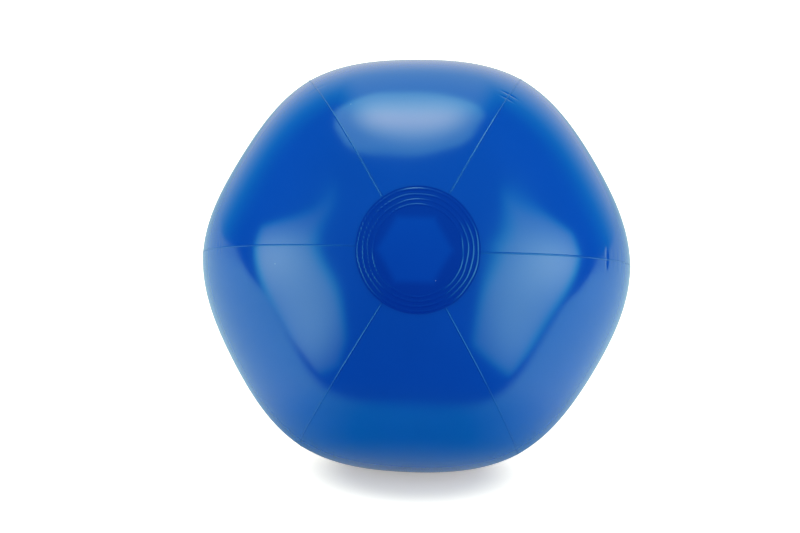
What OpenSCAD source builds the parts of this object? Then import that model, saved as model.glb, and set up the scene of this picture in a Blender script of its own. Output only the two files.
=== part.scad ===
// Inflatable beach ball: six welded film panels, two end caps and a push-in air valve.
// It lies on its side on a slightly flattened patch, with the front cap facing -Y and tipped up.
// Sizes are in millimetres. +Z is up, and the origin is on the floor under the ball's centre.
// Polar angles count from the middle of the front cap, azimuths from +X towards the top.

/* [Ball] */
// Diameter over the middles of the panels
across_panels = 275; // [200:1:400]
// How far the seams stand out beyond the panel middles, at the ball's equator
seam_rise = 5; // [0:0.5:12]
// Share of that rise that ends in a crease at the seam, the rest being a smooth swell
crease_share = 0.16; // [0:0.01:0.5]
// Polar angle past a cap over which the seams rise to their full height
rise_angle = 35; // [15:1:60]
// Thickness of the film
film = 0.3; // [0.2:0.05:0.6]
// How far the front cap's axis is tipped up from level
tip_up = 20; // [0:1:40]
// How deep the ball's weight presses its underside flat
press_depth = 1.5; // [0.5:0.1:4]

/* [Seams] */
// Width of a weld bead
bead_w = 1.2; // [0.8:0.1:3]
// How far a weld bead stands proud of the panels
bead_proud = 0.5; // [0.2:0.1:1.5]
// Gap left between welded pieces
weld_gap = 0.02; // [0.01:0.01:0.1]

/* [Caps] */
// Diameter of an end cap
cap_d = 76; // [60:1:100]
// Distance across the flats of the hexagon that the cut tips of the panels leave under a cap
tip_hole = 40; // [24:1:50]
// Number of ring welds on a cap
ring_count = 4; // [1:1:6]
// Distance from one ring weld to the next
ring_pitch = 3; // [2:0.1:5]
// Width of a ring weld
ring_w = 1.4; // [0.8:0.1:2]
// Height of a ring weld
ring_h = 0.35; // [0.2:0.05:0.6]
// Distance from the edge of a cap to the middle of its outer ring weld
ring_inset = 1.6; // [1:0.1:4]
// Distance from the edge of a cap to the ends of the weld beads
bead_clear = 0.3; // [0.1:0.1:2]

/* [Valve seat] */
// Polar angle of the valve, over the middle of the top panel
valve_polar = 128; // [115:1:140]
// Diameter of the hole in the panel
panel_hole = 20; // [17:0.5:24]
// Width of the flange's welded ring outside that hole
flange_w = 6; // [3:0.5:10]
// Width of the flange's lip inside that hole
flange_lip = 0.5; // [0.3:0.1:1]
// Thickness of the flange
flange_t = 0.8; // [0.6:0.1:1.5]
// Thickness of the diaphragm, measured along the valve's axis
diaphragm_t = 1; // [0.6:0.1:1.5]

/* [Valve stem] */
// Depth of the stem's mouth below the panel's outer face when the valve is pushed in
stem_recess = 1.5; // [0.5:0.1:4]
// Outer diameter of the stem
stem_d = 9.4; // [8.6:0.1:11]
// Diameter of the stem's bore
stem_bore = 6.5; // [5:0.1:7]
// Length of the stem
stem_len = 15; // [13:0.5:20]
// How far the stem's rim and collar stand out
rim_w = 0.5; // [0.3:0.1:0.8]
// Thickness of the stem's rim and collar
rim_t = 1; // [0.9:0.1:1.5]
// Distance from the stem's mouth to its collar
collar_depth = 7; // [5:0.5:9]

/* [Plug] */
// Diameter of the plug's head
head_d = 10.5; // [10:0.1:12]
// Thickness of the plug's head
head_t = 1.8; // [1.4:0.1:3]
// Diameter of the finger dish in the head
dish_d = 5.2; // [3:0.1:7]
// Depth of the finger dish
dish_depth = 0.5; // [0.2:0.1:0.8]
// Length of the plug's shank
shank_len = 7; // [4:0.5:9]
// Radial clearance between the shank and the bore
shank_clear = 0.05; // [0.02:0.01:0.1]
// Length of the taper at the shank's end
taper_len = 1.2; // [0.5:0.1:2]
// Diameter of the shank's end
taper_d = 4.5; // [3:0.1:4.8]

/* [Strap] */
// Width of the strap that ties the plug to the stem
strap_w = 3; // [2:0.1:4]
// Thickness of the strap
strap_t = 0.7; // [0.5:0.1:0.8]
// How far the strap's loop reaches out from the rim
strap_reach = 2; // [1.6:0.1:2.5]
// Clearance between the strap and the rim
strap_clear = 0.05; // [0.02:0.01:0.1]

/* [Flap] */
// How far the check flap laps over the bore's edge
flap_lap = 0.6; // [0.3:0.1:0.9]
// Thickness of the check flap
flap_t = 0.5; // [0.3:0.1:1]
// Gap between the closed flap and the stem's inner end
flap_gap = 0.05; // [0.02:0.01:0.1]
// Width of the flap's hinge tab
tab_w = 3; // [2:0.1:4]
// Distance from the stem's outer wall to the hinge line
hinge_inset = 0.3; // [0.2:0.1:0.5]

/* [Hidden] */

$fn = 64;
// Segments of a full circle as large as the ball
FINE_FN = 360;
FILM_BLUE = "#0b56b8";
WELD_BLUE = "#0a4ca6";
CLEAR_PVC = "#dfe6ea";

// Six panels, so a seam every 60 degrees and a panel's edge half of that from its middle
PANEL_COUNT = 6;
HALF_PANEL = 180 / PANEL_COUNT;
// Facets of a panel from cap to cap and from seam to seam
ROWS = 34;
COLUMNS = 8;
// Facets of a bead under each cap
CAP_STEPS = 3;

ball_r = across_panels / 2;
rest_height = ball_r - press_depth;
// The turn about X that lays the polar axis down
lay_angle = 90 - tip_up;

cap_r = ball_r + weld_gap;
cap_angle = asin(cap_d / 2 / (cap_r + film));
bead_start = cap_angle + asin(bead_clear / ball_r);
panel_gap = bead_w / 2 + weld_gap;
tip_r = tip_hole / 2;
tip_edge = HALF_PANEL - asin(panel_gap * cos(HALF_PANEL) / tip_r);
bead_tip = asin(tip_r / cos(HALF_PANEL) / ball_r);

// Heights in the valve's own frame, above the panel's outer face
flange_hole_r = panel_hole / 2 - flange_lip;
flange_top = sqrt(ball_r * ball_r - flange_hole_r * flange_hole_r) - ball_r - film - weld_gap;
stem_top = -stem_recess;
stem_end = stem_top - stem_len;
collar_top = stem_top - collar_depth;
rim_r = stem_d / 2 + rim_w;
flap_top = stem_end - flap_gap;
flap_r = stem_bore / 2 + flap_lap;
hinge_y = -(stem_d / 2 - hinge_inset);
// A reach that clears the valve's recess on every side
far = 2 * panel_hole;
// How far a cut runs past the faces that it opens
CUT_OVER = 1;

// 0 under the caps, 1 where the seams have risen to their full height
function swell(polar) =
    let (past = min(polar, 180 - polar) - bead_start)
    let (t = max(0, min(1, past / rise_angle)))
    t * t * (3 - 2 * t);

// How far the film stands out at this azimuth: most at a seam, nothing at a panel's middle
function rise(azimuth) = seam_rise * (
    (1 - crease_share) * (1 + cos(PANEL_COUNT * azimuth)) / 2
    + crease_share * (1 - abs(sin(PANEL_COUNT / 2 * azimuth)))
);

// Distance from the ball's centre to the film's outer face
function film_r(polar, azimuth) = ball_r + swell(polar) * rise(azimuth);

function on_ball(polar, azimuth, inset) =
    (film_r(polar, azimuth) - inset)
    * [sin(polar) * cos(azimuth), sin(polar) * sin(azimuth), cos(polar)];

// The ball's own frame laid on its side at its height above the floor
function laid(p) = [
    p.x,
    p.y * cos(lay_angle) - p.z * sin(lay_angle),
    p.y * sin(lay_angle) + p.z * cos(lay_angle) + rest_height
];

// Pressed flat by the floor, with the wall's thickness kept
function pressed(p, inset) = [p.x, p.y, max(p.z, inset)];

// Azimuth from a panel's middle to its edge beside the weld bead
function edge_azimuth(polar) = HALF_PANEL - asin(panel_gap / (film_r(polar, 0) * sin(polar)));

// The straight cut across a panel's tip, for a place across the panel from -1 to 1
function tip_polar(across) = asin(tip_r / cos(across * tip_edge) / ball_r);

function panel_polar(row, across) =
    let (tip = tip_polar(across))
    tip + (180 - 2 * tip) * row / ROWS;

function panel_point(middle, row, column, inset) =
    let (across = 2 * column / COLUMNS - 1)
    let (polar = panel_polar(row, across))
    let (azimuth = middle + across * edge_azimuth(polar))
    pressed(laid(on_ball(polar, azimuth, inset)), inset);

function two_triangles(a, b, c, d) = [[a, b, c], [a, c, d]];

// A closed wall between two depths in the film, over some of a panel's rows
module film_wall(middle, outer_inset, inner_inset, first_row, last_row) {
    wide = COLUMNS + 1;
    rows = last_row - first_row;
    layer = wide * (rows + 1);
    points = [
        for (inset = [outer_inset, inner_inset], row = [first_row : last_row], column = [0 : COLUMNS])
            panel_point(middle, row, column, inset)
    ];
    outside = [
        for (row = [0 : rows - 1], column = [0 : COLUMNS - 1])
            let (a = row * wide + column)
            each two_triangles(a, a + 1, a + wide + 1, a + wide)
    ];
    inside = [for (f = outside) [f[2] + layer, f[1] + layer, f[0] + layer]];
    tips = [
        for (column = [0 : COLUMNS - 1])
            let (a = column)
            let (b = rows * wide + column)
            each concat(
                two_triangles(a + 1, a, a + layer, a + 1 + layer),
                two_triangles(b, b + 1, b + 1 + layer, b + layer)
            )
    ];
    sides = [
        for (row = [0 : rows - 1])
            let (a = row * wide)
            let (b = a + COLUMNS)
            each concat(
                two_triangles(a, a + wide, a + wide + layer, a + layer),
                two_triangles(b + wide, b, b + layer, b + wide + layer)
            )
    ];
    polyhedron(points = points, faces = concat(outside, inside, tips, sides));
}

module film_panel(middle) {
    film_wall(middle, 0, film, 0, ROWS);
}

// Puts a piece from the ball's own frame, polar axis along Z, into its place on the floor
module on_floor() {
    translate([0, 0, rest_height]) rotate([lay_angle, 0, 0]) children();
}

// Puts a piece from the valve's own frame, Z along its axis out of the ball, into its place
module at_valve() {
    on_floor() rotate([-valve_polar, 0, 0]) translate([0, 0, ball_r]) children();
}

function bead_edge(polar, height) =
    (film_r(polar, 0) + height) * [sin(polar), cos(polar)];

// A bead's side view: flush under the caps, proud of the panels between them
module bead_outline() {
    under_cap = [for (i = [0 : CAP_STEPS]) bead_tip + (bead_start - bead_tip) * i / CAP_STEPS];
    between = [for (i = [0 : ROWS]) bead_start + (180 - 2 * bead_start) * i / ROWS];
    under_rear_cap = [for (i = [0 : CAP_STEPS]) 180 - under_cap[CAP_STEPS - i]];
    inner = concat(under_cap, between, under_rear_cap);
    polygon(concat(
        [for (polar = under_cap) bead_edge(polar, 0)],
        [for (polar = between) bead_edge(polar, bead_proud)],
        [for (polar = under_rear_cap) bead_edge(polar, 0)],
        [for (i = [len(inner) - 1 : -1 : 0]) bead_edge(inner[i], -film)]
    ));
}

module weld_bead(azimuth) {
    on_floor()
        rotate([0, 0, azimuth])
            rotate([90, 0, 0])
                linear_extrude(height = bead_w, center = true)
                    bead_outline();
}

// Half of a cap's section: a slice of a spherical film with its ring welds
module cap_section() {
    outer_r = cap_r + film;
    ridge_r = (ring_w * ring_w / 4 + ring_h * ring_h) / (2 * ring_h);
    intersection() {
        difference() {
            union() {
                circle(r = outer_r, $fn = FINE_FN);
                for (ring = [0 : ring_count - 1]) {
                    ring_r = cap_d / 2 - ring_inset - ring * ring_pitch;
                    ring_angle = asin(ring_r / outer_r);
                    rotate(-ring_angle) translate([0, outer_r + ring_h - ridge_r]) circle(r = ridge_r);
                }
            }
            circle(r = cap_r, $fn = FINE_FN);
        }
        polygon(2 * ball_r * [[0, 0], [0, 1], [sin(cap_angle), cos(cap_angle)]]);
    }
}

module end_cap() {
    rotate_extrude() cap_section();
}

module panel_top() {
    color(FILM_BLUE)
        difference() {
            film_panel(90);
            at_valve() cylinder(d = panel_hole, h = far, center = true);
        }
}

module panel_upper_left() {
    color(FILM_BLUE) film_panel(150);
}

module panel_lower_left() {
    color(FILM_BLUE) film_panel(210);
}

module panel_bottom() {
    color(FILM_BLUE) film_panel(270);
}

module panel_lower_right() {
    color(FILM_BLUE) film_panel(330);
}

module panel_upper_right() {
    color(FILM_BLUE) film_panel(30);
}

module seam_right() {
    color(WELD_BLUE) weld_bead(0);
}

module seam_upper_right() {
    color(WELD_BLUE) weld_bead(60);
}

module seam_upper_left() {
    color(WELD_BLUE) weld_bead(120);
}

module seam_left() {
    color(WELD_BLUE) weld_bead(180);
}

module seam_lower_left() {
    color(WELD_BLUE) weld_bead(240);
}

module seam_lower_right() {
    color(WELD_BLUE) weld_bead(300);
}

module front_cap() {
    color(FILM_BLUE) on_floor() end_cap();
}

module rear_cap() {
    color(FILM_BLUE) on_floor() mirror([0, 0, 1]) end_cap();
}

// The valve's welded ring, which follows the panel's inner face
module valve_flange() {
    flange_r = panel_hole / 2 + flange_w;
    middle_row = round((valve_polar - tip_polar(0)) / (180 - 2 * tip_polar(0)) * ROWS);
    spare_rows = ceil(flange_r / (ball_r * sin(180 / ROWS))) + 1;
    color(CLEAR_PVC)
        difference() {
            intersection() {
                film_wall(90, film + weld_gap, film + weld_gap + flange_t,
                          middle_row - spare_rows, middle_row + spare_rows);
                at_valve() cylinder(r = flange_r, h = far, center = true);
            }
            at_valve() cylinder(r = flange_hole_r, h = far, center = true);
        }
}

// The soft cone that carries the stem and turns inside out when the valve is pulled up
module valve_diaphragm() {
    rim = flange_hole_r - weld_gap;
    waist = rim_r + weld_gap;
    collar_middle = collar_top - rim_t / 2;
    color(CLEAR_PVC)
        at_valve()
            rotate_extrude()
                polygon([
                    [rim, flange_top - flange_t / 4],
                    [rim, flange_top - flange_t],
                    [waist, collar_middle - diaphragm_t / 2],
                    [waist, collar_middle + diaphragm_t / 2]
                ]);
}

module valve_stem() {
    color(CLEAR_PVC)
        at_valve()
            difference() {
                union() {
                    translate([0, 0, stem_end]) cylinder(d = stem_d, h = stem_len);
                    for (top = [stem_top, collar_top])
                        translate([0, 0, top - rim_t]) cylinder(r = rim_r, h = rim_t);
                }
                translate([0, 0, stem_end - CUT_OVER]) cylinder(d = stem_bore, h = stem_len + 2 * CUT_OVER);
            }
}

module valve_plug() {
    shank_r = stem_bore / 2 - shank_clear;
    dish_r = (dish_d * dish_d / 4 + dish_depth * dish_depth) / (2 * dish_depth);
    color(CLEAR_PVC)
        at_valve()
            translate([0, 0, stem_top])
                difference() {
                    union() {
                        cylinder(d = head_d, h = head_t);
                        translate([0, 0, taper_len - shank_len])
                            cylinder(r = shank_r, h = shank_len - taper_len);
                        translate([0, 0, -shank_len])
                            cylinder(r1 = taper_d / 2, r2 = shank_r, h = taper_len);
                    }
                    translate([0, 0, head_t - dish_depth + dish_r]) sphere(r = dish_r);
                }
}

// Section of the strap's loop: out from the stem's rim, round and back to the plug's head
module strap_section() {
    low = stem_top - rim_t / 2;
    high = stem_top + head_t / 2;
    middle = (low + high) / 2;
    bend_r = (high - low) / 2;
    bend_x = rim_r + strap_reach - bend_r - strap_t / 2;
    for (leg = [low, high]) translate([0, leg - strap_t / 2]) square([bend_x, strap_t]);
    difference() {
        translate([bend_x, middle]) circle(r = bend_r + strap_t / 2);
        translate([bend_x, middle]) circle(r = bend_r - strap_t / 2);
        translate([bend_x - far, middle - far / 2]) square([far, far]);
    }
}

module plug_strap() {
    color(CLEAR_PVC)
        at_valve()
            difference() {
                rotate([90, 0, 0]) linear_extrude(height = strap_w, center = true) strap_section();
                translate([0, 0, stem_top - far]) cylinder(r = rim_r + strap_clear, h = far);
                translate([0, 0, stem_top]) cylinder(d = head_d, h = far);
            }
}

// The check flap, hinged on the stem's inner end and closed over the bore
module check_flap() {
    color(CLEAR_PVC)
        at_valve()
            translate([0, 0, flap_top - flap_t]) {
                cylinder(r = flap_r, h = flap_t);
                translate([-tab_w / 2, hinge_y, 0]) cube([tab_w, -hinge_y, flap_t]);
            }
}

panel_top();
panel_upper_left();
panel_lower_left();
panel_bottom();
panel_lower_right();
panel_upper_right();
seam_right();
seam_upper_right();
seam_upper_left();
seam_left();
seam_lower_left();
seam_lower_right();
front_cap();
rear_cap();
valve_flange();
valve_diaphragm();
valve_stem();
valve_plug();
plug_strap();
check_flap();
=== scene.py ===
import math

import bpy
import numpy as np
from mathutils import Matrix, Vector


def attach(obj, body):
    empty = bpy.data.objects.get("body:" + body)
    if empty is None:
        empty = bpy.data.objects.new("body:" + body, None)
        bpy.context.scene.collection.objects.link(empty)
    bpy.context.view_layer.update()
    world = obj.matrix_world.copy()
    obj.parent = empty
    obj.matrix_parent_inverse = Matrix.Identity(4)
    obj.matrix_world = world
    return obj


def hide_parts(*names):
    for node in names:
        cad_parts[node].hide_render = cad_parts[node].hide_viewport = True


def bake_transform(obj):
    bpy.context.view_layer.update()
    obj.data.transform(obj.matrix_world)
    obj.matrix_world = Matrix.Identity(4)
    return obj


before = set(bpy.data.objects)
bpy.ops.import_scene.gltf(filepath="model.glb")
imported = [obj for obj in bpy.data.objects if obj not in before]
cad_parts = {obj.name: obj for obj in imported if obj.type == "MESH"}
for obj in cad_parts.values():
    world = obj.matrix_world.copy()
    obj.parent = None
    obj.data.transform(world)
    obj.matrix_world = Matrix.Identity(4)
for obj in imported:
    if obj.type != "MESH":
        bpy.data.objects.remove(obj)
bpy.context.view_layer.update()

# Lengths in the script are metres, so sizes in millimetres are written as times MM.
MM = 0.001
DEG = math.pi / 180

# The ball's own sizes, the same as those of the solids.
BALL_R = 137.5 * MM
SEAM_RISE = 5 * MM
CREASE_SHARE = 0.16
RISE_ANGLE = 35 * DEG
FILM = 0.3 * MM
TIP_UP = 20 * DEG
PRESS_DEPTH = 1.5 * MM
PANEL_COUNT = 6
HALF_PANEL = math.pi / PANEL_COUNT
BEAD_W = 1.2 * MM
WELD_GAP = 0.02 * MM
CAP_R = 38 * MM
TIP_R = 20 * MM
RING_COUNT = 4
RING_PITCH = 3 * MM
RING_W = 1.4 * MM
RING_INSET = 1.6 * MM
BEAD_CLEAR = 0.3 * MM
VALVE_POLAR = 128 * DEG
PANEL_HOLE_R = 10 * MM

REST_HEIGHT = BALL_R - PRESS_DEPTH
CAP_BALL_R = BALL_R + WELD_GAP
CAP_ANGLE = math.asin(CAP_R / (CAP_BALL_R + FILM))
BEAD_START = CAP_ANGLE + math.asin(BEAD_CLEAR / BALL_R)
PANEL_GAP = BEAD_W / 2 + WELD_GAP
TIP_EDGE = HALF_PANEL - math.asin(PANEL_GAP * math.cos(HALF_PANEL) / TIP_R)
BEAD_TIP = math.asin(TIP_R / math.cos(HALF_PANEL) / BALL_R)

# The ball's frame has its polar axis along Z through the front cap. The valve's has Z out of the ball.
BALL_FRAME = Matrix.Translation((0, 0, REST_HEIGHT)) @ Matrix.Rotation(math.pi / 2 - TIP_UP, 4, "X")
VALVE_FRAME = BALL_FRAME @ Matrix.Rotation(-VALVE_POLAR, 4, "X") @ Matrix.Translation((0, 0, BALL_R))

# Each panel's middle azimuth in degrees
PANELS = {
    "panel_top": 90, "panel_upper_left": 150, "panel_lower_left": 210,
    "panel_bottom": 270, "panel_lower_right": 330, "panel_upper_right": 30,
}
# Each seam's azimuth in degrees, how proud its bead is of the film, and how many degrees the seam
# lies aside of that azimuth beside the front cap and farther back
SEAMS = {
    "seam_right": (0, 0.15 * MM, -0.1, 0.95), "seam_upper_right": (60, 0.12 * MM, 2.65, 1.85),
    "seam_upper_left": (120, 0.27 * MM, 4.7, 1.8), "seam_left": (180, 0.13 * MM, -3.65, -1.85),
    "seam_lower_left": (240, 0.13 * MM, -2.9, -1.8), "seam_lower_right": (300, 0.09 * MM, -3.0, -0.65),
}
# Past the cap, a seam comes over from its first place to its second within about this polar angle.
SEAM_SETTLE = 12 * DEG
# The seams lie aside in full up to the first of these polar angles, and not at all past the second.
ASIDE_ENDS = (75 * DEG, 110 * DEG)

# Points closer than this are one.
MERGE = 0.002 * MM
# Faces that meet at less than these degrees are shaded as one.
FILM_SMOOTH = 35
MOULDING_SMOOTH = 40
BEAD_SMOOTH = 50
# Sides of what is round in the valve
VALVE_STEPS = 96


def named(name):
    """Names the primitive that was just added, and its mesh."""
    piece = bpy.context.object
    piece.name = name
    piece.data.name = name
    return piece


def points_of(piece):
    flat = np.empty(len(piece.data.vertices) * 3)
    piece.data.vertices.foreach_get("co", flat)
    return flat.reshape(-1, 3)


def set_points(piece, points):
    piece.data.vertices.foreach_set("co", points.astype(np.float32).ravel())
    piece.data.update()


def place(piece, matrix):
    """Puts a finished shape from its own frame into the ball's place, in the mesh itself."""
    piece.data.transform(matrix)
    piece.data.update()


def grid(name, columns, rows):
    """A grid from -1 to 1 both ways, ready to be wrapped."""
    bpy.ops.object.select_all(action="DESELECT")
    bpy.ops.mesh.primitive_grid_add(x_subdivisions=columns, y_subdivisions=rows, size=2)
    return named(name)


def close_up(piece, fill):
    """Merges doubles, fills open ends where asked, and turns every face outwards."""
    bpy.context.view_layer.objects.active = piece
    bpy.ops.object.mode_set(mode="EDIT")
    bpy.ops.mesh.select_all(action="SELECT")
    bpy.ops.mesh.remove_doubles(threshold=MERGE)
    if fill:
        bpy.ops.mesh.fill_holes(sides=0)
    bpy.ops.mesh.select_all(action="SELECT")
    bpy.ops.mesh.normals_make_consistent(inside=False)
    bpy.ops.object.mode_set(mode="OBJECT")


def single_point(name, spot):
    """Starts a drawn shape: one point at a spot, left selected in edit mode."""
    bpy.ops.object.select_all(action="DESELECT")
    bpy.ops.mesh.primitive_plane_add(size=MM)
    piece = named(name)
    bpy.ops.object.mode_set(mode="EDIT")
    bpy.ops.mesh.select_all(action="SELECT")
    bpy.ops.mesh.merge(type="CENTER")
    bpy.ops.transform.translate(value=spot)
    return piece


def lathe(name, section, steps, ring):
    """Spins a section, listed as (radius, height), round Z.
    A ring's section is closed, and others end on the axis."""
    radius, height = section[0]
    piece = single_point(name, (radius, 0, height))
    corners = section[1:] + section[:1] if ring else section[1:]
    for next_radius, next_height in corners:
        step = (next_radius - radius, 0, next_height - height)
        bpy.ops.mesh.extrude_vertices_move(TRANSFORM_OT_translate={"value": step})
        radius, height = next_radius, next_height
    bpy.ops.mesh.select_all(action="SELECT")
    bpy.ops.mesh.spin(steps=steps, angle=2 * math.pi, center=(0, 0, 0), axis=(0, 0, 1))
    bpy.ops.object.mode_set(mode="OBJECT")
    close_up(piece, fill=False)
    return piece


def modify(piece, kind, **settings):
    """Adds one modifier with these settings and applies it."""
    bpy.ops.object.select_all(action="DESELECT")
    piece.select_set(True)
    bpy.context.view_layer.objects.active = piece
    modifier = piece.modifiers.new(kind.lower(), kind)
    for setting, value in settings.items():
        setattr(modifier, setting, value)
    bpy.ops.object.modifier_apply(modifier=modifier.name)


def smooth(piece, angle):
    """Shades faces as one where they meet at less than so many degrees."""
    bpy.ops.object.select_all(action="DESELECT")
    piece.select_set(True)
    bpy.context.view_layer.objects.active = piece
    bpy.ops.object.shade_smooth_by_angle(angle=angle * DEG)


def hand_over(piece, node, body, material):
    """Dresses a piece, hides the CAD node it stands for, and hangs it on the body that carries it.
    A soft piece is handed over with no body."""
    piece.data.materials.clear()
    piece.data.materials.append(material)
    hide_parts(node)
    if body:
        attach(piece, body)


def eased(share):
    """A rise from 0 to 1 with soft ends."""
    t = np.clip(share, 0, 1)
    return t * t * (3 - 2 * t)


def within(distance):
    """1 about a distance of 0, falling softly to nothing past 1."""
    return np.exp(-(distance ** 4))


def swell(polar):
    """0 under the caps, 1 where the seams have risen to their full height."""
    return eased((np.minimum(polar, math.pi - polar) - BEAD_START) / RISE_ANGLE)


def film_radius(polar, azimuth):
    """From the ball's centre to the film's outer face."""
    wave = (1 + np.cos(PANEL_COUNT * azimuth)) / 2
    crease = 1 - np.abs(np.sin(PANEL_COUNT / 2 * azimuth))
    return BALL_R + swell(polar) * SEAM_RISE * ((1 - CREASE_SHARE) * wave + CREASE_SHARE * crease)


def shifted(polar, azimuth):
    """Where a place on the even pattern of seams really lies."""
    middles, _, near, far = np.array(list(SEAMS.values())).T
    near = np.interp(azimuth / DEG, middles, near, period=360)
    far = np.interp(azimuth / DEG, middles, far, period=360)
    aside = far + (near - far) * np.minimum(np.exp((CAP_ANGLE - polar) / SEAM_SETTLE), 1)
    kept = eased((ASIDE_ENDS[1] - polar) / (ASIDE_ENDS[1] - ASIDE_ENDS[0]))
    return azimuth + kept * aside * DEG


def on_ball(radius, polar, azimuth):
    """Points in the ball's frame, from their distance and two angles."""
    off_axis = radius * np.sin(polar)
    return np.stack(
        [off_axis * np.cos(azimuth), off_axis * np.sin(azimuth), radius * np.cos(polar)], axis=1
    )


def laid(points):
    """From the ball's frame to its place on the floor, where the underside is pressed flat."""
    turn = np.array(BALL_FRAME.to_3x3())
    moved = points @ turn.T + np.array(BALL_FRAME.translation)
    moved[:, 2] = np.maximum(moved[:, 2], 0)
    return moved


# The caps are a little larger than the solids', taller than wide, and their rims wide and high for their
# rings. These are shares of the distance from the cap's middle. The rim's come in with a power of it.
CAP_LARGER = 0.0025
CAP_TALLER = 0.0145
CAP_RIM = 0.0245
CAP_HIGH = 0.02
CAP_RIM_POWER = 6


def cap_reach(polar, azimuth):
    """Where a place on a round cap really lies."""
    at_rim = (polar / CAP_ANGLE) ** CAP_RIM_POWER * (CAP_RIM + CAP_HIGH * np.sin(azimuth))
    return polar * (1 + CAP_LARGER - CAP_TALLER * np.cos(2 * azimuth) + at_rim)


# Tucks across a seam: the seam's azimuth and the polar angle in degrees, the depth, the half width along
# the seam, and the reach from it
TUCKS = [
    (0, 58.2, 0.55 * MM, 1.5 * MM, 5.6 * MM),
    (0, 61.5, 0.09 * MM, 0.9 * MM, 6.0 * MM),
    (0, 64.5, 0.11 * MM, 1.0 * MM, 7.0 * MM),
    (0, 68.0, 0.11 * MM, 1.0 * MM, 8.0 * MM),
    (60, 54.7, 0.24 * MM, 0.9 * MM, 4.0 * MM),
    (60, 57.4, 0.30 * MM, 0.9 * MM, 5.0 * MM),
    (180, 62.0, 0.12 * MM, 0.8 * MM, 4.0 * MM),
    (180, 63.8, 0.16 * MM, 0.8 * MM, 5.0 * MM),
    (180, 66.0, 0.12 * MM, 0.8 * MM, 5.0 * MM),
    (120, 63.5, 0.10 * MM, 1.0 * MM, 6.0 * MM),
]


def tuck_depth(polar, azimuth):
    """How far the puckers beside the seams draw the film in."""
    depth = np.zeros_like(polar)
    for seam, at, deep, half_width, reach in TUCKS:
        turn = (azimuth - seam * DEG + math.pi) % (2 * math.pi) - math.pi
        aside = np.abs(turn) * BALL_R * np.sin(polar)
        along = (polar - at * DEG) * BALL_R / half_width
        beside = np.abs(turn) < HALF_PANEL
        depth += deep * np.exp(-along * along) * within(aside / reach) * beside
    return depth


PANEL_COLUMNS = 64
PANEL_ROWS = 460
# Share of even spacing in a panel's columns. The rest of it crowds them towards the seams.
EVEN_SHARE = 0.45
# Share of a panel's rows that lies in its middle part, and the polar angle where that part starts
MIDDLE_SHARE = 0.72
MIDDLE_START = 50 * DEG
HOLE_CUT_DEPTH = 20 * MM


def cut_valve_hole(piece):
    bpy.ops.object.select_all(action="DESELECT")
    bpy.ops.mesh.primitive_cylinder_add(vertices=VALVE_STEPS, radius=PANEL_HOLE_R, depth=HOLE_CUT_DEPTH)
    cutter = named("hole_cutter")
    place(cutter, VALVE_FRAME)
    modify(piece, "BOOLEAN", operation="DIFFERENCE", solver="EXACT", object=cutter)
    bpy.data.objects.remove(cutter)


def film_panel(name, middle, material):
    """A gore of film from cut tip to cut tip, with its columns wrapped between two seams."""
    piece = grid(name, PANEL_COLUMNS, PANEL_ROWS)
    flat = points_of(piece)
    across = EVEN_SHARE * flat[:, 0] + (1 - EVEN_SHARE) * np.sin(flat[:, 0] * math.pi / 2)
    tip = np.arcsin(TIP_R / np.cos(across * TIP_EDGE) / BALL_R)
    share = np.abs(flat[:, 1])
    inner = math.pi / 2 - (math.pi / 2 - MIDDLE_START) * share / MIDDLE_SHARE
    outer = MIDDLE_START - (MIDDLE_START - tip) * (share - MIDDLE_SHARE) / (1 - MIDDLE_SHARE)
    near_end = np.where(share < MIDDLE_SHARE, inner, outer)
    polar = np.where(flat[:, 1] > 0, near_end, math.pi - near_end)
    edge = HALF_PANEL - np.arcsin(PANEL_GAP / (film_radius(polar, 0.0) * np.sin(polar)))
    azimuth = middle * DEG + across * edge
    radius = film_radius(polar, azimuth) - tuck_depth(polar, azimuth)
    set_points(piece, laid(on_ball(radius, polar, shifted(polar, azimuth))))
    modify(piece, "SOLIDIFY", thickness=FILM, offset=-1)
    if name == "panel_top":
        cut_valve_hole(piece)
    smooth(piece, FILM_SMOOTH)
    hand_over(piece, name, "ball", material)


BEAD_ROWS = 360
# Across the bead in mm, and up as a share of its height where that is above the film, else in mm
BEAD_SECTION = [
    (-0.60, -0.28), (-0.60, -0.03), (-0.42, 0.0), (-0.35, 0.2), (-0.24, 0.68), (-0.10, 1.0),
    (0.10, 1.0), (0.24, 0.68), (0.35, 0.2), (0.42, 0.0), (0.60, -0.03), (0.60, -0.28), (0.0, -0.30),
]
# A bead rises to its height over this polar angle past the cap, and sinks by this share of a tuck.
BEAD_RAMP = 0.6 * DEG
BEAD_TUCK = 0.6


def weld_bead(name, middle, proud, material):
    """A rounded bead between two panels, flush under the caps."""
    columns = len(BEAD_SECTION)
    piece = grid(name, columns, BEAD_ROWS)
    flat = points_of(piece)
    corner = np.rint((flat[:, 0] + 1) / 2 * columns).astype(int) % columns
    aside, height = np.array(BEAD_SECTION)[corner].T
    aside = aside * MM
    polar = BEAD_TIP + (math.pi - 2 * BEAD_TIP) * (1 - flat[:, 1]) / 2
    bare = BEAD_START - CAP_ANGLE + cap_reach(CAP_ANGLE, middle * DEG)
    past_cap = np.clip((np.minimum(polar, math.pi - polar) - bare) / BEAD_RAMP, 0, 1)
    height = np.where(height > 0, height * proud * past_cap, height * MM)
    tuck = tuck_depth(polar, np.full_like(polar, middle * DEG)) * BEAD_TUCK
    radius = film_radius(polar, 0.0) - tuck + height
    azimuth = shifted(polar, middle * DEG) + aside / (radius * np.sin(polar))
    set_points(piece, laid(on_ball(radius, polar, azimuth)))
    close_up(piece, fill=True)
    smooth(piece, BEAD_SMOOTH)
    hand_over(piece, name, "ball", material)


CAP_STEPS = 640
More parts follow.
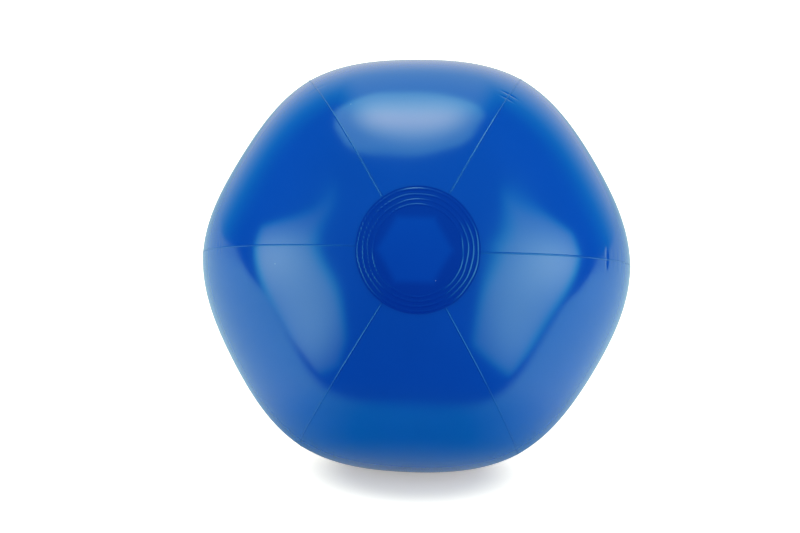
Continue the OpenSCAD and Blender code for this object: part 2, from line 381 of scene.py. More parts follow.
# Points of a cap's section inside its rings, across them, and back along its underside
CAP_INNER_POINTS = 14
CAP_RING_POINTS = 58
CAP_UNDER_POINTS = 16
RINGS_START = 1.5 * RING_W
# The rings as seen: height, its level all round and how much more it is at top and bottom than at the
# sides, how far from a ring's middle its own waves reach, and the lip on the cap's rim
RING_SEEN_H = 0.16 * MM
RING_LEVEL = 1.1
RING_LEVEL_SWING = 0.3
RING_REACH = 0.45 * RING_PITCH
LIP_H = 0.1 * MM
LIP_W = 0.5 * MM
# Waves round a ring, as (how many are added up, fewest turns): its slow wander, its kinks and its height
WANDER_WAVES = (5, 2)
KINK_WAVES = (6, 66)
HEIGHT_WAVES = (6, 3)
# The size of each wave is drawn between these.
WAVE_SIZES = (0.4, 1)
# How far the wander and the kinks move a ring, and the shares by which waves and kinks change its height
WANDER = 0.22 * MM
KINK = 0.3 * MM
HEIGHT_SHARE = 0.4
HEIGHT_KINK_SHARE = 0.25
HEIGHT_LEAST = 0.1
# Added to a cap's seed for its height waves and its kinks
HEIGHT_SEED = 10
KINK_SEED = 20
# The kinks lie about this azimuth, within so many degrees of it.
KINKED_MIDDLE = 172
KINKED_HALF = 50
# Where the cap is the only film: how soft that spot's border is, and how far it lies off the middle
SINGLE_FILM_BLUR = 5.5 * MM
SINGLE_FILM_MIDDLE = (-1.9 * MM, 0.5 * MM)


def waver(angle, seed, waves, lowest):
    """A smooth closed wave round a ring, from about -1 to 1."""
    draw = np.random.default_rng(seed)
    total = np.zeros_like(angle)
    for wave in range(waves):
        turns = lowest + wave * 2 + draw.integers(0, 2)
        total += draw.uniform(*WAVE_SIZES) * np.sin(turns * angle + draw.uniform(0, 2 * math.pi))
    return total / math.sqrt(waves)


def mark_single_film(piece):
    """Marks the hexagon between the panels' cut tips, where the cap is the only film."""
    x, y, _ = points_of(piece).T
    x = x - SINGLE_FILM_MIDDLE[0]
    y = y - SINGLE_FILM_MIDDLE[1]
    sector = np.arctan2(y, x) % (2 * HALF_PANEL) - HALF_PANEL
    to_side = np.hypot(x, y) * np.cos(sector)
    single = 1 - eased((to_side - TIP_R) / SINGLE_FILM_BLUR + 0.5)
    layer = piece.data.attributes.new("single_film", "FLOAT", "POINT")
    layer.data.foreach_set("value", single.astype(np.float32))


def kinked(azimuth):
    """1 on the left and upper left, where the rings are kinked, and 0 elsewhere."""
    return within(((azimuth % (2 * math.pi)) / DEG - KINKED_MIDDLE) / KINKED_HALF)


def end_cap(name, seed, side, material):
    """A film disc with ring welds, spun round the ball's axis.
    Side is 1 for the front cap and -1 for the rear one."""
    outer_r = CAP_BALL_R + FILM
    edge = CAP_ANGLE * outer_r
    rings = [edge - RING_INSET - ring * RING_PITCH for ring in range(RING_COUNT)]
    first = rings[-1] - RINGS_START
    marks = list(np.linspace(0, first, CAP_INNER_POINTS))
    marks += list(np.linspace(first, edge, CAP_RING_POINTS))[1:]
    section = []
    for mark in marks:
        lift = sum(RING_SEEN_H * max(0, 1 - ((mark - ring) / (RING_W / 2)) ** 2) for ring in rings)
        height = outer_r + lift + LIP_H * math.exp(-(((edge - mark) / LIP_W) ** 2))
        section.append((height * math.sin(mark / outer_r), height * math.cos(mark / outer_r)))
    for mark in np.linspace(edge, 0, CAP_UNDER_POINTS):
        section.append((CAP_BALL_R * math.sin(mark / outer_r), CAP_BALL_R * math.cos(mark / outer_r)))
    section[0] = (0, section[0][1])
    section[-1] = (0, section[-1][1])
    piece = lathe(name, section, CAP_STEPS, ring=False)
    points = points_of(piece)
    reach = np.linalg.norm(points, axis=1)
    polar = np.arccos(np.clip(points[:, 2] / reach, -1, 1))
    azimuth = np.arctan2(points[:, 1], points[:, 0])
    lift = np.maximum(reach - outer_r, 0) * (RING_LEVEL - RING_LEVEL_SWING * np.cos(2 * azimuth))
    for ring, mark in enumerate(rings):
        near = within((polar * outer_r - mark) / RING_REACH)
        wander = waver(azimuth, seed + ring, *WANDER_WAVES) * WANDER
        kinks = kinked(azimuth) * waver(azimuth, seed + KINK_SEED + ring, *KINK_WAVES)
        polar = polar + near * (wander + kinks * KINK) / outer_r
        uneven = HEIGHT_SHARE * waver(azimuth, seed + HEIGHT_SEED + ring, *HEIGHT_WAVES)
        uneven = uneven + HEIGHT_KINK_SHARE * kinks
        lift = lift * np.maximum(1 + near * uneven, HEIGHT_LEAST)
    reach = np.where(reach > outer_r, outer_r + lift, reach)
    points = on_ball(reach, cap_reach(polar, azimuth), azimuth)
    points[:, 2] *= side
    set_points(piece, points)
    close_up(piece, fill=False)
    mark_single_film(piece)
    place(piece, BALL_FRAME)
    smooth(piece, MOULDING_SMOOTH)
    hand_over(piece, name, "ball", material)


def add_node(tree, kind, sockets=None, **settings):
    """Adds a shader node. Sockets take a value, or another node's output to link."""
    made = tree.nodes.new("ShaderNode" + kind)
    for setting, value in settings.items():
        setattr(made, setting, value)
    for socket, value in (sockets or {}).items():
        if isinstance(value, bpy.types.NodeSocket):
            tree.links.new(value, made.inputs[socket])
        else:
            made.inputs[socket].default_value = value
    return made


def reckon(tree, operation, *values):
    """A number worked out from others."""
    return add_node(tree, "Math", dict(enumerate(values)), operation=operation).outputs[0]


def reckon_vector(tree, operation, *values):
    """A vector worked out from others."""
    return add_node(tree, "VectorMath", dict(enumerate(values)), operation=operation).outputs["Vector"]


def measure(tree, operation, *values):
    """A number measured on one vector or two."""
    return add_node(tree, "VectorMath", dict(enumerate(values)), operation=operation).outputs["Value"]


def ramp(tree, value, ends, levels=(0, 1), soft=False):
    """A straight or a soft rise between two levels, while a value goes from one end to the other."""
    sockets = {
        "Value": value, "From Min": ends[0], "From Max": ends[1],
        "To Min": levels[0], "To Max": levels[1],
    }
    kind = "SMOOTHSTEP" if soft else "LINEAR"
    return add_node(tree, "MapRange", sockets, interpolation_type=kind).outputs[0]


def mix_colours(tree, share, low, high):
    return add_node(tree, "Mix", {0: share, 6: low, 7: high}, data_type="RGBA").outputs[2]


def mix_levels(tree, share, low, high):
    return add_node(tree, "Mix", {0: share, 2: low, 3: high}, data_type="FLOAT").outputs[0]


def noise(tree, spot, scale, detail):
    return add_node(tree, "TexNoise", {"Vector": spot, "Scale": scale, "Detail": detail}).outputs["Fac"]


def clouded(tree, clouds, base, tints):
    """A colour that goes with the clouds from one tint of its base to another."""
    low, high = ((*(min(1, tint * channel) for channel in base), 1) for tint in tints)
    return mix_colours(tree, clouds, low, high)


# The film: colours where it is single, welded and doubled, and the colours of its reflections
FILM_BLUE = (0, 0.066, 0.435)
WELD_BLUE = (0, 0.058, 0.415)
CAP_BLUE = (0, 0.053, 0.43)
DOUBLE_BLUE = (0, 0.034, 0.345)
FILM_SHINE = (0.44, 1, 0.75)
WELD_SHINE = (0.2, 1, 0.8)
FILM_ROUGHNESS = 0.15
WELD_ROUGHNESS = 0.22
CAP_ROUGHNESS = 0.17
FILM_IOR = 1.54
# Clouds in its colour and gloss, and the grain of its face
CLOUD_SCALE = 16
CLOUD_DETAIL = 4
CLOUD_TINTS = (0.93, 1.07)
CLOUD_GLOSS = 0.02
GRAIN_SCALE = 420
GRAIN_DETAIL = 2
GRAIN_STRENGTH = 0.04
GRAIN_DEPTH = 0.1 * MM
# Specks of dust, painted pale so that they also stand for tiny glints: cells to a metre, the share of
# them with a speck, and a speck's radius in its cell
DUST_GLINT_CELLS = 90
DUST_GLINT_SHARE = 0.05
DUST_GLINT_SIZE = 0.03
DUST_GLINT_COLOUR = (0.2, 0.32, 0.55, 1)
# The valve's moulding
MILK_WHITE = (0.78, 0.82, 0.84)
MILK_ROUGHNESS = 0.3
MILK_IOR = 1.52
MILK_SCALE = 300
MILK_DETAIL = 3
MILK_TINTS = (0.94, 1.04)
MILK_GLOSS = (-0.04, 0.06)
MILK_SHARE = 0.5
MILK_DEPTH = 1.2 * MM
MILK_DEPTH_BY_COLOUR = (0.8, 0.9, 1)


def vinyl(name, base, roughness, shine, under=None):
    """Glossy vinyl film: clouded in colour and gloss, faintly uneven, with a few specks of dust,
    painted pale as glints.
    Shine is the colour of its reflections, and under the darker colour where film lies on film."""
    material = bpy.data.materials.new(name)
    material.use_nodes = True
    tree = material.node_tree
    shader = tree.nodes["Principled BSDF"]
    spot = add_node(tree, "TexCoord").outputs["Object"]
    clouds = noise(tree, spot, CLOUD_SCALE, CLOUD_DETAIL)
    grain = noise(tree, spot, GRAIN_SCALE, GRAIN_DETAIL)
    colour = clouded(tree, clouds, base, CLOUD_TINTS)
    if under:
        single = add_node(tree, "Attribute", attribute_name="single_film").outputs["Fac"]
        colour = mix_colours(tree, single, clouded(tree, clouds, under, CLOUD_TINTS), colour)
    cells = add_node(tree, "TexVoronoi", {"Vector": spot, "Scale": DUST_GLINT_CELLS}).outputs
    drawn = add_node(tree, "SeparateColor", {0: cells["Color"]}).outputs[0]
    glinting_dust = reckon(tree, "LESS_THAN", drawn, DUST_GLINT_SHARE)
    glint_speck = reckon(tree, "LESS_THAN", cells["Distance"], DUST_GLINT_SIZE)
    # Dust specks get a pale colour, partly their own and partly a painted glint.
    colour = mix_colours(tree, reckon(tree, "MULTIPLY", glinting_dust, glint_speck), colour, DUST_GLINT_COLOUR)
    tree.links.new(colour, shader.inputs["Base Color"])
    gloss = ramp(tree, clouds, (0, 1), (roughness - CLOUD_GLOSS, roughness + CLOUD_GLOSS))
    tree.links.new(gloss, shader.inputs["Roughness"])
    bump = add_node(tree, "Bump", {"Height": grain, "Strength": GRAIN_STRENGTH, "Distance": GRAIN_DEPTH})
    tree.links.new(bump.outputs[0], shader.inputs["Normal"])
    shader.inputs["IOR"].default_value = FILM_IOR
    shader.inputs["Specular IOR Level"].default_value = 1
    shader.inputs["Specular Tint"].default_value = (*shine, 1)
    return material


def milky_vinyl(name, base, roughness):
    """The valve's soft moulding, which lets a little light through."""
    material = bpy.data.materials.new(name)
    material.use_nodes = True
    tree = material.node_tree
    shader = tree.nodes["Principled BSDF"]
    spot = add_node(tree, "TexCoord").outputs["Object"]
    clouds = noise(tree, spot, MILK_SCALE, MILK_DETAIL)
    tree.links.new(clouded(tree, clouds, base, MILK_TINTS), shader.inputs["Base Color"])
    gloss = ramp(tree, clouds, (0, 1), (roughness + MILK_GLOSS[0], roughness + MILK_GLOSS[1]))
    tree.links.new(gloss, shader.inputs["Roughness"])
    shader.inputs["Subsurface Weight"].default_value = MILK_SHARE
    shader.inputs["Subsurface Radius"].default_value = MILK_DEPTH_BY_COLOUR
    shader.inputs["Subsurface Scale"].default_value = MILK_DEPTH
    shader.inputs["IOR"].default_value = MILK_IOR
    return material


panel_film = vinyl("panel_film", FILM_BLUE, FILM_ROUGHNESS, FILM_SHINE)
seam_weld = vinyl("seam_weld", WELD_BLUE, WELD_ROUGHNESS, WELD_SHINE)
cap_film = vinyl("cap_film", CAP_BLUE, CAP_ROUGHNESS, WELD_SHINE, under=DOUBLE_BLUE)
valve_vinyl = milky_vinyl("valve_vinyl", MILK_WHITE, MILK_ROUGHNESS)

for name, middle in PANELS.items():
    film_panel(name, middle, panel_film)
for name, (middle, proud, _, _) in SEAMS.items():
    weld_bead(name, middle, proud, seam_weld)
end_cap("front_cap", seed=11, side=1, material=cap_film)
end_cap("rear_cap", seed=47, side=-1, material=cap_film)

# The air valve. Its sizes are in mm, and sections are (radius, height above the panel's outer face).
FLANGE_SECTION = [
    (9.5, -0.46), (9.62, -0.34), (15.7, -0.34), (15.95, -0.5),
    (15.95, -0.96), (15.7, -1.1), (9.7, -1.1), (9.5, -0.98),
]
RING_MARK_SECTION = [(-0.55, -0.1), (-0.4, 0.06), (-0.15, 0.16), (0.15, 0.16), (0.4, 0.06), (0.55, -0.1)]
RING_MARKS = (11.8, 14.6)
STEM_SECTION = [
    (3.25, -1.66), (3.4, -1.52), (5.04, -1.52), (5.2, -1.68), (5.2, -2.34), (5.04, -2.5), (4.8, -2.54),
    (4.7, -2.66), (4.7, -8.36), (4.78, -8.48), (5.06, -8.52), (5.2, -8.66), (5.2, -9.34), (5.06, -9.5),
    (4.78, -9.52), (4.7, -9.64), (4.7, -16.3), (4.52, -16.5), (3.42, -16.5), (3.25, -16.32),
]
PLUG_SECTION = [
    (0, -0.2), (0.8, -0.15), (1.5, -0.03), (2.1, 0.13), (2.5, 0.25), (2.75, 0.3), (4.85, 0.3),
    (5.12, 0.2), (5.25, -0.05), (5.25, -1.2), (5.12, -1.42), (4.9, -1.48), (3.3, -1.48), (3.18, -1.6),
    (3.18, -7.2), (3.08, -7.45), (2.35, -8.35), (2.1, -8.5), (0, -8.5),
]
# The diaphragm's two ends, as (radius, height, thickness), and how far its cone waves between them
DIAPHRAGM_ENDS = [(9.47, -1.15, 0.6), (5.23, -9.0, 0.96)]
DIAPHRAGM_WAVE = 0.05
DIAPHRAGM_STEPS = 16
# The strap goes half a turn round a middle, as (radius, height), from the stem's collar to the plug's.
STRAP_MIDDLE = (6.15, -1.3)
STRAP_BEND = 0.7
STRAP_T = 0.7
STRAP_W = 3.0
STRAP_END = 5.26
STRAP_STEPS = 25
# The check flap: its radius, the heights between which it lies, and its tab
FLAP_R = 3.85
FLAP_Z = (-17.05, -16.55)
FLAP_TAB = (1.5, -4.4)
FLAP_STEPS = 61
SLAB_BEVEL = 0.1
SLAB_BEVEL_STEPS = 3
SLAB_BEVEL_ANGLE = 50 * DEG


def in_mm(section):
    return [(radius * MM, height * MM) for radius, height in section]


def on_film(piece):
    """Bends a piece that was made flat in the valve's frame, so that it follows the film."""
    points = points_of(piece)
    to_ball = BALL_FRAME.inverted() @ VALVE_FRAME
    foot = points * (1, 1, 0)
    foot = foot @ np.array(to_ball.to_3x3()).T + np.array(to_ball.translation)
    reach = np.linalg.norm(foot, axis=1)
    polar = np.arccos(foot[:, 2] / reach)
    azimuth = np.arctan2(foot[:, 1], foot[:, 0])
    set_points(piece, laid(on_ball(film_radius(polar, azimuth) + points[:, 2], polar, azimuth)))


def slab(name, outline, low, high):
    """Draws an outline, listed as (x, y), and draws it up from one height to another."""
    x, y = outline[0]
    piece = single_point(name, (x, y, low))
    for next_x, next_y in outline[1:]:
        bpy.ops.mesh.extrude_vertices_move(TRANSFORM_OT_translate={"value": (next_x - x, next_y - y, 0)})
        x, y = next_x, next_y
    bpy.ops.mesh.select_all(action="SELECT")
    bpy.ops.mesh.edge_face_add()
    bpy.ops.mesh.extrude_region_move(TRANSFORM_OT_translate={"value": (0, 0, high - low)})
    bpy.ops.object.mode_set(mode="OBJECT")
    close_up(piece, fill=False)
    modify(
        piece, "BEVEL", width=SLAB_BEVEL * MM, segments=SLAB_BEVEL_STEPS,
        limit_method="ANGLE", angle_limit=SLAB_BEVEL_ANGLE,
    )
    return piece


def bend(middle, radius, steps):
    """Half a turn round a middle, from below it to above it, on its right."""
    turns = np.linspace(-math.pi / 2, math.pi / 2, steps)
    return [(middle[0] + radius * math.cos(turn), middle[1] + radius * math.sin(turn)) for turn in turns]


def valve_flange():
    """The ring welded under the panel, round the hole."""
    piece = lathe("valve_flange", in_mm(FLANGE_SECTION), VALVE_STEPS, ring=True)
    on_film(piece)
    smooth(piece, MOULDING_SMOOTH)
    hand_over(piece, "valve_flange", "ball", valve_vinyl)


def ring_mark(name, radius):
    """A ring pressed up in the panel where the flange is welded under it."""
    section = [(radius + aside, height) for aside, height in RING_MARK_SECTION]
    piece = lathe(name, in_mm(section), VALVE_STEPS, ring=True)
    on_film(piece)
    smooth(piece, BEAD_SMOOTH)
    piece.data.materials.append(panel_film)
    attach(piece, "ball")


def valve_diaphragm():
    """The soft cone between the flange and the stem, which turns out as the stem is pulled."""
    (outer_r, outer_z, outer_t), (inner_r, inner_z, inner_t) = DIAPHRAGM_ENDS
    upper, lower = [], []
    for step in range(DIAPHRAGM_STEPS + 1):
        t = step / DIAPHRAGM_STEPS
        radius = outer_r + (inner_r - outer_r) * (t - DIAPHRAGM_WAVE * math.sin(2 * math.pi * t))
        height = outer_z + (inner_z - outer_z) * t
        half = (outer_t + (inner_t - outer_t) * t) / 2
        upper.append((radius, height + half))
        lower.append((radius, height - half))
    piece = lathe("valve_diaphragm", in_mm(upper + lower[::-1]), VALVE_STEPS, ring=True)
    place(piece, VALVE_FRAME)
    smooth(piece, MOULDING_SMOOTH)
    hand_over(piece, "valve_diaphragm", None, valve_vinyl)
    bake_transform(piece)


def valve_stem():
    piece = lathe("valve_stem", in_mm(STEM_SECTION), VALVE_STEPS, ring=True)
    place(piece, VALVE_FRAME)
    smooth(piece, MOULDING_SMOOTH)
    hand_over(piece, "valve_stem", "stem", valve_vinyl)


def valve_plug():
    piece = lathe("valve_plug", in_mm(PLUG_SECTION), VALVE_STEPS, ring=False)
    place(piece, VALVE_FRAME)
    smooth(piece, MOULDING_SMOOTH)
    hand_over(piece, "valve_plug", "plug", valve_vinyl)


def plug_strap():
    """A flat strap that ties the plug to the stem."""
    outer = bend(STRAP_MIDDLE, STRAP_BEND + STRAP_T / 2, STRAP_STEPS)
    inner = bend(STRAP_MIDDLE, STRAP_BEND - STRAP_T / 2, STRAP_STEPS)[::-1]
    outline = [(STRAP_END, outer[0][1])] + outer + [(STRAP_END, outer[-1][1])]
    outline += [(STRAP_END, inner[0][1])] + inner + [(STRAP_END, inner[-1][1])]
    piece = slab("plug_strap", in_mm(outline), -STRAP_W / 2 * MM, STRAP_W / 2 * MM)
    place(piece, VALVE_FRAME @ Matrix.Rotation(math.pi / 2, 4, "X"))
    smooth(piece, MOULDING_SMOOTH)
    hand_over(piece, "plug_strap", None, valve_vinyl)
    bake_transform(piece)


def check_flap():
    """A round flap under the stem, with a tab that it hinges on."""
    tab_x, tab_y = FLAP_TAB
    tab_turn = math.asin(tab_x / FLAP_R)
    turns = np.linspace(-math.pi / 2 + tab_turn, 3 * math.pi / 2 - tab_turn, FLAP_STEPS)
    outline = [(FLAP_R * math.cos(turn), FLAP_R * math.sin(turn)) for turn in turns]
    outline += [(-tab_x, tab_y), (tab_x, tab_y)]
    piece = slab("check_flap", in_mm(outline), FLAP_Z[0] * MM, FLAP_Z[1] * MM)
    place(piece, VALVE_FRAME)
    smooth(piece, MOULDING_SMOOTH)
    hand_over(piece, "check_flap", "flap", valve_vinyl)


valve_flange()
ring_mark("valve_ring_inner", RING_MARKS[0])
ring_mark("valve_ring_outer", RING_MARKS[1])
valve_diaphragm()
valve_stem()
valve_plug()
plug_strap()
check_flap()

# Stage: camera, floor, studio and lamps. All lengths from here on are metres unless they say MM.
BALL_MIDDLE = Vector((0, 0, REST_HEIGHT))
# The camera's place is two angles and a distance from the ball's middle. It aims a little off that.
VIEW_ELEVATION = 16 * DEG
VIEW_AZIMUTH = -0.33 * DEG
VIEW_ROLL = 1.5 * DEG
VIEW_DISTANCE = 1.6
AIM_RIGHT = -10.9 * MM
AIM_UP = -0.66 * MM
# The sensor's width and the lens are in mm, as on a camera.
SENSOR = 36
LENS = 107.72
CLIP_ENDS = (0.05, 30)


def towards(sideways, height):
    """The direction from the ball at two angles, from the front towards the right and up."""
    level = math.cos(height)
    return Vector((math.sin(sideways) * level, -math.cos(sideways) * level, math.sin(height)))


def add_camera():
    towards_camera = towards(VIEW_AZIMUTH, VIEW_ELEVATION)
    camera_right = Vector((0, 0, 1)).cross(towards_camera).normalized()
    camera_up = towards_camera.cross(camera_right)
    data = bpy.data.cameras.new("camera")
    camera = bpy.data.objects.new("camera", data)
    bpy.context.scene.collection.objects.link(camera)
    camera.location = BALL_MIDDLE + towards_camera * VIEW_DISTANCE
    aim = BALL_MIDDLE + camera_right * AIM_RIGHT + camera_up * AIM_UP
    back = (camera.location - aim).normalized()
    right = camera_up.cross(back).normalized()
    up = back.cross(right)
    rolled_right = right * math.cos(VIEW_ROLL) + up * math.sin(VIEW_ROLL)
    rolled_up = back.cross(rolled_right)
    camera.rotation_euler = Matrix((rolled_right, rolled_up, back)).transposed().to_euler()
    data.sensor_width = SENSOR
    data.lens = LENS
    data.clip_start, data.clip_end = CLIP_ENDS
    bpy.context.scene.camera = camera


# The floor's outline from above, and how far it lies below the ball
FLOOR_OUTLINE = [
    (0.3, -0.19), (0.48, -0.15), (0.7, -0.035), (1.0, 0.12), (4.0, 1.58), (4.0, 5.0),
    (-4.0, 5.0), (-4.0, 1.58), (-1.0, 0.12), (-0.7, -0.035), (-0.48, -0.15), (-0.3, -0.19),
]
FLOOR_DROP = 0.2 * MM
FLOOR_COLOUR = (0.9, 0.89, 0.86, 1)
# The floor in the ball's reflections: its colours near a spot and away from it, the distances from that
# spot between which they change, and the places front to back between which it comes up. The darker
# colour near the spot, under the ball's front, is painted shade.
FLOOR_IN_MIRROR = [(0.01, 0.47, 0.62, 1), (0.57, 0.77, 0.76, 1)]
FLOOR_MIRROR_MIDDLE = (0, -0.12, 0)
FLOOR_MIRROR_REACH = (0.05, 0.18)
FLOOR_FRONT = (-0.182, -0.145)
# The floor's own glow is low in the shadow under the ball and full past it. The shadow is a circle,
# squeezed and moved. In the ball's reflections the floor glows only there, by the contact glow.
SHADOW_SQUEEZE = (1, 1.17, 1)
SHADOW_MOVE = (-0.002, 0.035, 0)
SHADOW_REACH = (0.038, 0.095)
FLOOR_GLOW = (0.37, 1.0)
GLOW_COLOUR = (1, 0.97, 0.85, 1)
CONTACT_GLOW = 0.36


def add_floor():
    """A white floor, plain to the camera but for a painted shadow under the ball.
    Where the ball mirrors it, it is tinted, with painted shade and a painted glow near the ball.
    """
    bpy.ops.object.select_all(action="DESELECT")
    bpy.ops.mesh.primitive_circle_add(vertices=len(FLOOR_OUTLINE), radius=1, fill_type="NGON")
    floor = named("floor")
    corners = points_of(floor)
    for corner, (x, y) in enumerate(FLOOR_OUTLINE):
        corners[corner] = (x, y, -FLOOR_DROP)
    set_points(floor, corners)
    close_up(floor, fill=False)
    material = bpy.data.materials.new("floor_white")
    material.use_nodes = True
    tree = material.node_tree
    tree.nodes.clear()
    output = add_node(tree, "OutputMaterial")
    rays = add_node(tree, "LightPath").outputs
    spot = add_node(tree, "TexCoord").outputs["Object"]
    # Painted shade: near the spot under the ball's front the floor's mirrored colour is darker.
    away = ramp(tree, measure(tree, "DISTANCE", spot, FLOOR_MIRROR_MIDDLE), FLOOR_MIRROR_REACH)
    mirrored = mix_colours(tree, away, *FLOOR_IN_MIRROR)
    front = ramp(tree, add_node(tree, "SeparateXYZ", {0: spot}).outputs["Y"], FLOOR_FRONT, soft=True)
    mirrored = add_node(tree, "VectorMath", {0: mirrored, "Scale": front}, operation="SCALE").outputs[0]
    colour = mix_colours(tree, rays["Is Glossy Ray"], FLOOR_COLOUR, mirrored)
    paper = add_node(tree, "BsdfDiffuse", {"Color": colour})
    beside = reckon_vector(tree, "MULTIPLY_ADD", spot, SHADOW_SQUEEZE, SHADOW_MOVE)
    # Painted contact shadow: the floor's glow is low within this squeezed circle.
    near = ramp(tree, measure(tree, "LENGTH", beside), SHADOW_REACH, FLOOR_GLOW, soft=True)
    # A painted glow near the contact, seen only in the ball's reflections.
    contact = reckon(tree, "MULTIPLY_ADD", near, -CONTACT_GLOW, CONTACT_GLOW)
    in_film = reckon(tree, "MULTIPLY", rays["Is Glossy Ray"], contact)
    seen = reckon(tree, "MULTIPLY_ADD", rays["Is Camera Ray"], near, in_film)
    glow = add_node(tree, "Emission", {"Color": GLOW_COLOUR, "Strength": seen})
    lit = add_node(tree, "AddShader", {0: paper.outputs[0], 1: glow.outputs[0]})
    tree.links.new(lit.outputs[0], output.inputs["Surface"])
    floor.data.materials.append(material)


# The white backdrop in reflections: its axis, the cosines off that axis between which it comes up, and
# its levels at two heights. As it comes up it turns from its first colour to its second.
BACKDROP_AXIS = (0.025, 0.993, -0.12)
BACKDROP = (0.3, 1.03)
BACKDROP_HEIGHTS = (-0.3, 0.5)
BACKDROP_LEVELS = (0.8, 1.02)
BACKDROP_TURN = (0.4, 1.0)
BACKDROP_COLOURS = [(0.05, 0.97, 0.93, 1), (0.94, 0.96, 0.89, 1)]
# A sweep of it hangs over the ball. It fades out sideways and comes up towards the back.
SWEEP_SIDE = (0.14, 0.48)
SWEEP_BACK = (0.2, 0.45)
SWEEP_LEVEL = 0.77
# The room's light on the ball from straight below and from straight above, and its colours at two heights
FILL = (0.29, 0.89)
FILL_HEIGHTS = (-0.6, 0.6)
FILL_COLOURS = [(1, 0.38, 0.96, 1), (1, 1.12, 1, 1)]
WHITE = (1, 1, 1, 1)


def add_studio():
    """A white backdrop behind the ball and a dark room behind the camera, as reflections see them."""
    world = bpy.data.worlds.new("studio")
    bpy.context.scene.world = world
    world.use_nodes = True
    tree = world.node_tree
    background = tree.nodes["Background"]
    rays = add_node(tree, "LightPath").outputs
    direction = add_node(tree, "TexCoord").outputs["Generated"]
    split = add_node(tree, "SeparateXYZ", {0: direction}).outputs
    height = split["Z"]
    sideways = reckon(tree, "ABSOLUTE", split["X"])

    behind = measure(tree, "DOT_PRODUCT", direction, BACKDROP_AXIS)
    backdrop = ramp(tree, behind, BACKDROP, soft=True)
    sweep = ramp(tree, sideways, SWEEP_SIDE, (SWEEP_LEVEL, 0), soft=True)
    sweep = reckon(tree, "MULTIPLY", sweep, ramp(tree, split["Y"], SWEEP_BACK))
    backdrop = reckon(tree, "MAXIMUM", backdrop, sweep)
    backdrop_colour = mix_colours(tree, ramp(tree, backdrop, BACKDROP_TURN), *BACKDROP_COLOURS)
    backdrop = reckon(tree, "MULTIPLY", backdrop, ramp(tree, height, BACKDROP_HEIGHTS, BACKDROP_LEVELS))

    mirrored = reckon(tree, "MAXIMUM", rays["Is Glossy Ray"], rays["Is Transmission Ray"])
    level = mix_levels(tree, mirrored, ramp(tree, height, (-1, 1), FILL), backdrop)
    level = mix_levels(tree, rays["Is Camera Ray"], level, 1)
    fill_colour = mix_colours(tree, ramp(tree, height, FILL_HEIGHTS), *FILL_COLOURS)
    colour = mix_colours(tree, rays["Is Diffuse Ray"], WHITE, fill_colour)
    colour = mix_colours(tree, mirrored, colour, backdrop_colour)
    tree.links.new(level, background.inputs["Strength"])
    tree.links.new(colour, background.inputs["Color"])


# Lamps. Each side of one is its outward direction in degrees and its distance from the lamp's middle.
SOFTBOX_DISTANCE = 1.0
SOFTBOX_SIZE = 1.7
TOP_SIDES = [
    (180, 0.405), (143, 0.435), (110, 0.515), (80, 0.525), (71, 0.48), (47, 0.56),
    (12, 0.64), (-25, 0.57), (-60, 0.465), (-95, 0.37), (-137, 0.37), (-152, 0.35),
]
LEFT_SIDES = [(202, 0.331), (124, 0.666), (60, 0.768), (23, 0.458), (-22, 0.7), (-81, 0.705)]
RIGHT_SIDES = [
    (180, 0.72), (160, 0.523), (132, 0.571), (73, 0.753),
    (38, 0.693), (-13, 0.468), (-33, 0.382), (-111, 0.66),
]
# A lamp's cloth ends over this width to either side of its outline, and has a border in its last colour.
SOFTBOX_EDGE = 0.05
SOFTBOX_BORDER = 0.13
# Colours at the hot spot, away from it and along the border
TOP_COLOURS = [(1, 0.605, 0.53, 1), (0.54, 0.62, 0.555, 1), (0.38, 0.62, 0.555, 1)]
SIDE_COLOURS = [(1, 0.82, 0.8, 1), (0.6, 0.82, 0.81, 1), (0, 0.83, 0.81, 1)]


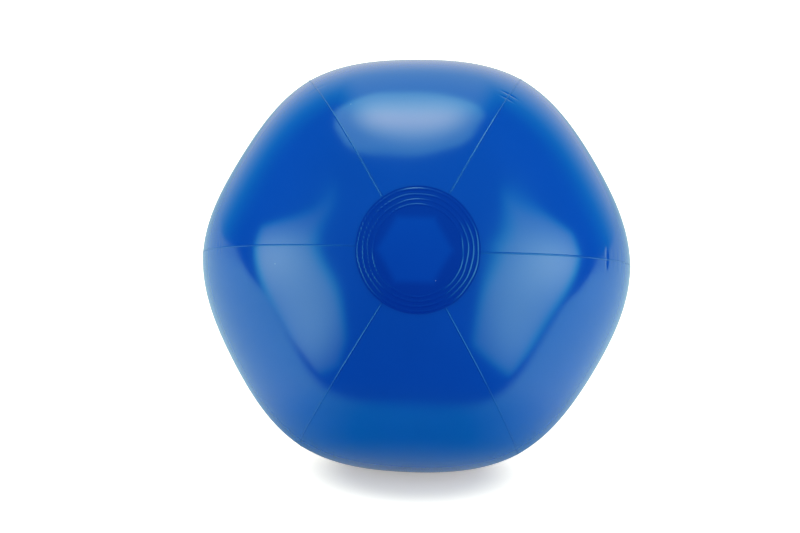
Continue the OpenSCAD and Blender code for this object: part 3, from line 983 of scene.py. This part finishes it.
def add_softbox(name, sideways, height, sides, radiance, colours, hot_spot, reach, rest):
    """A lamp of straight sides aimed at the ball.
    Its place is two angles in degrees, from the front towards the right and up.
    From the hot spot it fades over the reach to its second colour, and to the rest of its radiance."""
    data = bpy.data.lights.new(name, "AREA")
    data.shape = "SQUARE"
    data.size = SOFTBOX_SIZE
    data.energy = radiance * math.pi * SOFTBOX_SIZE ** 2
    lamp = bpy.data.objects.new(name, data)
    bpy.context.scene.collection.objects.link(lamp)
    towards_lamp = towards(sideways * DEG, height * DEG)
    lamp.location = BALL_MIDDLE + towards_lamp * SOFTBOX_DISTANCE
    lamp.rotation_euler = towards_lamp.to_track_quat("Z", "Y").to_euler()
    lamp.visible_camera = False
    data.use_nodes = True
    tree = data.node_tree
    face = add_node(tree, "NewGeometry").outputs["Parametric"]
    spread = (SOFTBOX_SIZE, SOFTBOX_SIZE, 0)
    start = (-SOFTBOX_SIZE / 2, -SOFTBOX_SIZE / 2, 0)
    spot = reckon_vector(tree, "MULTIPLY_ADD", face, spread, start)
    outside = None
    for angle, distance in sides:
        outward = (math.cos(angle * DEG), math.sin(angle * DEG), 0)
        past = reckon(tree, "SUBTRACT", measure(tree, "DOT_PRODUCT", spot, outward), distance)
        outside = reckon(tree, "MAXIMUM", outside, past) if outside else past
    cloth = ramp(tree, outside, (-SOFTBOX_EDGE, SOFTBOX_EDGE), (1, 0), soft=True)
    faded = ramp(tree, measure(tree, "DISTANCE", spot, (*hot_spot, 0)), (0, reach), soft=True)
    strength = reckon(tree, "MULTIPLY", cloth, reckon(tree, "MULTIPLY_ADD", faded, rest - 1, 1))
    border = ramp(tree, outside, (-SOFTBOX_BORDER, 0), soft=True)
    colour = mix_colours(tree, border, mix_colours(tree, faded, colours[0], colours[1]), colours[2])
    tree.links.new(strength, tree.nodes["Emission"].inputs["Strength"])
    tree.links.new(colour, tree.nodes["Emission"].inputs["Color"])


add_camera()
add_floor()
add_studio()
add_softbox(
    "softbox_top", sideways=-150, height=78.7, sides=TOP_SIDES, radiance=5.45,
    colours=TOP_COLOURS, hot_spot=(-0.006, 0.057), reach=0.37, rest=0.335,
)
add_softbox(
    "softbox_left", sideways=-65.6, height=0.3, sides=LEFT_SIDES, radiance=2.96,
    colours=SIDE_COLOURS, hot_spot=(-0.01, 0.04), reach=0.81, rest=0.17,
)
add_softbox(
    "softbox_right", sideways=61.9, height=3.5, sides=RIGHT_SIDES, radiance=3.26,
    colours=SIDE_COLOURS, hot_spot=(0.02, 0.06), reach=0.785, rest=0.27,
)

bpy.context.scene.view_settings.view_transform = "Standard"
